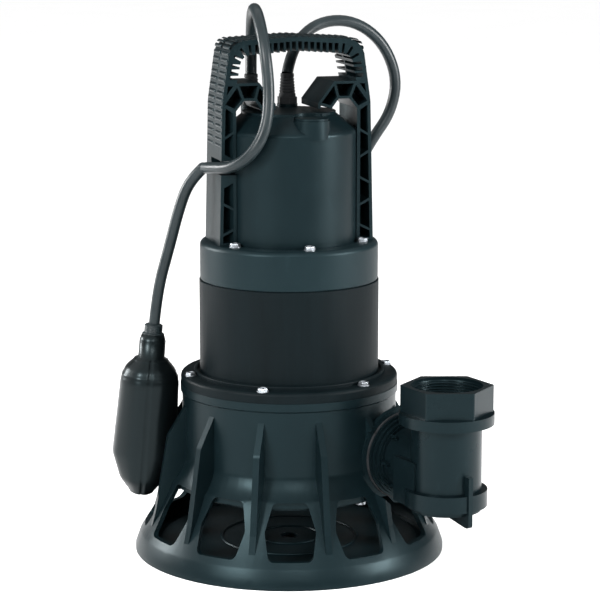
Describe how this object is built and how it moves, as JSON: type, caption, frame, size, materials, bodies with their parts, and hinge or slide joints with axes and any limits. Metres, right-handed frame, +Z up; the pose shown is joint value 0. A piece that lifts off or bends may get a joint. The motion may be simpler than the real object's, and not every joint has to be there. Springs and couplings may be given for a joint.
{
  "type": "submersible drainage pump",
  "caption": "Portable submersible drainage pump with a windowed flared foot, a side outlet elbow, a carrying handle, a hanging float switch and a coiled supply lead.",
  "frame": {"origin": "on the pump's upright axis, in the plane the foot stands on", "axes": "+Z up along the pump's axis, -Y out of the handle's front, X along the handle's width with the float on the -X side"},
  "size_m": [0.3164, 0.5129, 0.4741],
  "materials": {
    "housing": "satin moulded technopolymer",
    "casing": "matt moulded technopolymer with a fine upright drawn texture",
    "handle": "satin moulded technopolymer",
    "float": "satin moulded polypropylene",
    "cable": "smooth rubber sheath",
    "rubber": "matt seal rubber",
    "screws": "bright zinc plate",
    "steel": "ground stainless steel",
    "brackets": "as cast",
    "laminations": "stacked sheet",
    "copper": "varnished copper wire",
    "ceramic": "lapped ceramic",
    "white_plastic": "moulded",
    "pins": "nickel flashed brass"
  },
  "bodies": {
    "pump": {"pump_body": "housing", "foot_plate": "housing", "suction_plate": "housing", "outlet_seal": "rubber", "outlet_elbow": "housing", "seal_seat": "ceramic", "lip_seal": "rubber", "seal_carrier": "brackets", "carrier_oring": "rubber", "lower_bracket": "brackets", "lower_bearing": "steel", "stator_frame": "brackets", "stator_core": "laminations", "lower_winding": "copper", "upper_winding": "copper", "upper_bracket": "brackets", "upper_bearing": "steel", "wave_washer": "steel", "motor_casing": "casing", "motor_cover": "housing", "cap": "housing", "cap_plug": "housing", "float_gland": "rubber", "float_relief": "rubber", "power_gland": "rubber", "power_relief": "rubber", "cap_tray": "white_plastic", "capacitor": "white_plastic", "terminal_block": "white_plastic", "flange_screws": "screws", "cover_screws": "screws", "suction_screws": "screws", "handle": "handle", "float_cable_fixed": "cable", "power_cord": "cable", "cord_tail": "cable", "cord_coil": "cable", "coil_ties": "rubber", "plug_body": "rubber", "plug_pins": "pins"},
    "rotor": {"shaft": "steel", "rotor_core": "laminations", "impeller": "housing", "impeller_key": "steel", "impeller_nut": "steel", "impeller_washer": "steel", "seal_head": "ceramic", "seal_spring": "steel"},
    "float": {"float_cable_hanging": "cable", "float_collar": "float", "float_shell_left": "float", "float_shell_right": "float", "float_switch": "white_plastic", "ball_channel": "white_plastic"},
    "ball": {"float_ball": "steel"}
  },
  "joints": [
    {"name": "rotor_spin", "type": "hinge", "parent": "pump", "child": "rotor", "pos_m": [0, 0, 0.17], "axis": [0, 0, 1], "continuous": true},
    {"name": "float_swing", "type": "hinge", "parent": "pump", "child": "float", "pos_m": [-0.074, 0.006, 0.3353], "axis": [0.4751, 0.8799, 0], "range_deg": [0, 100]},
    {"name": "ball_roll", "type": "slide", "parent": "float", "child": "ball", "axis": [0.0836, -0.0178, 0.9963], "range_m": [0, 0.032]}
  ]
}
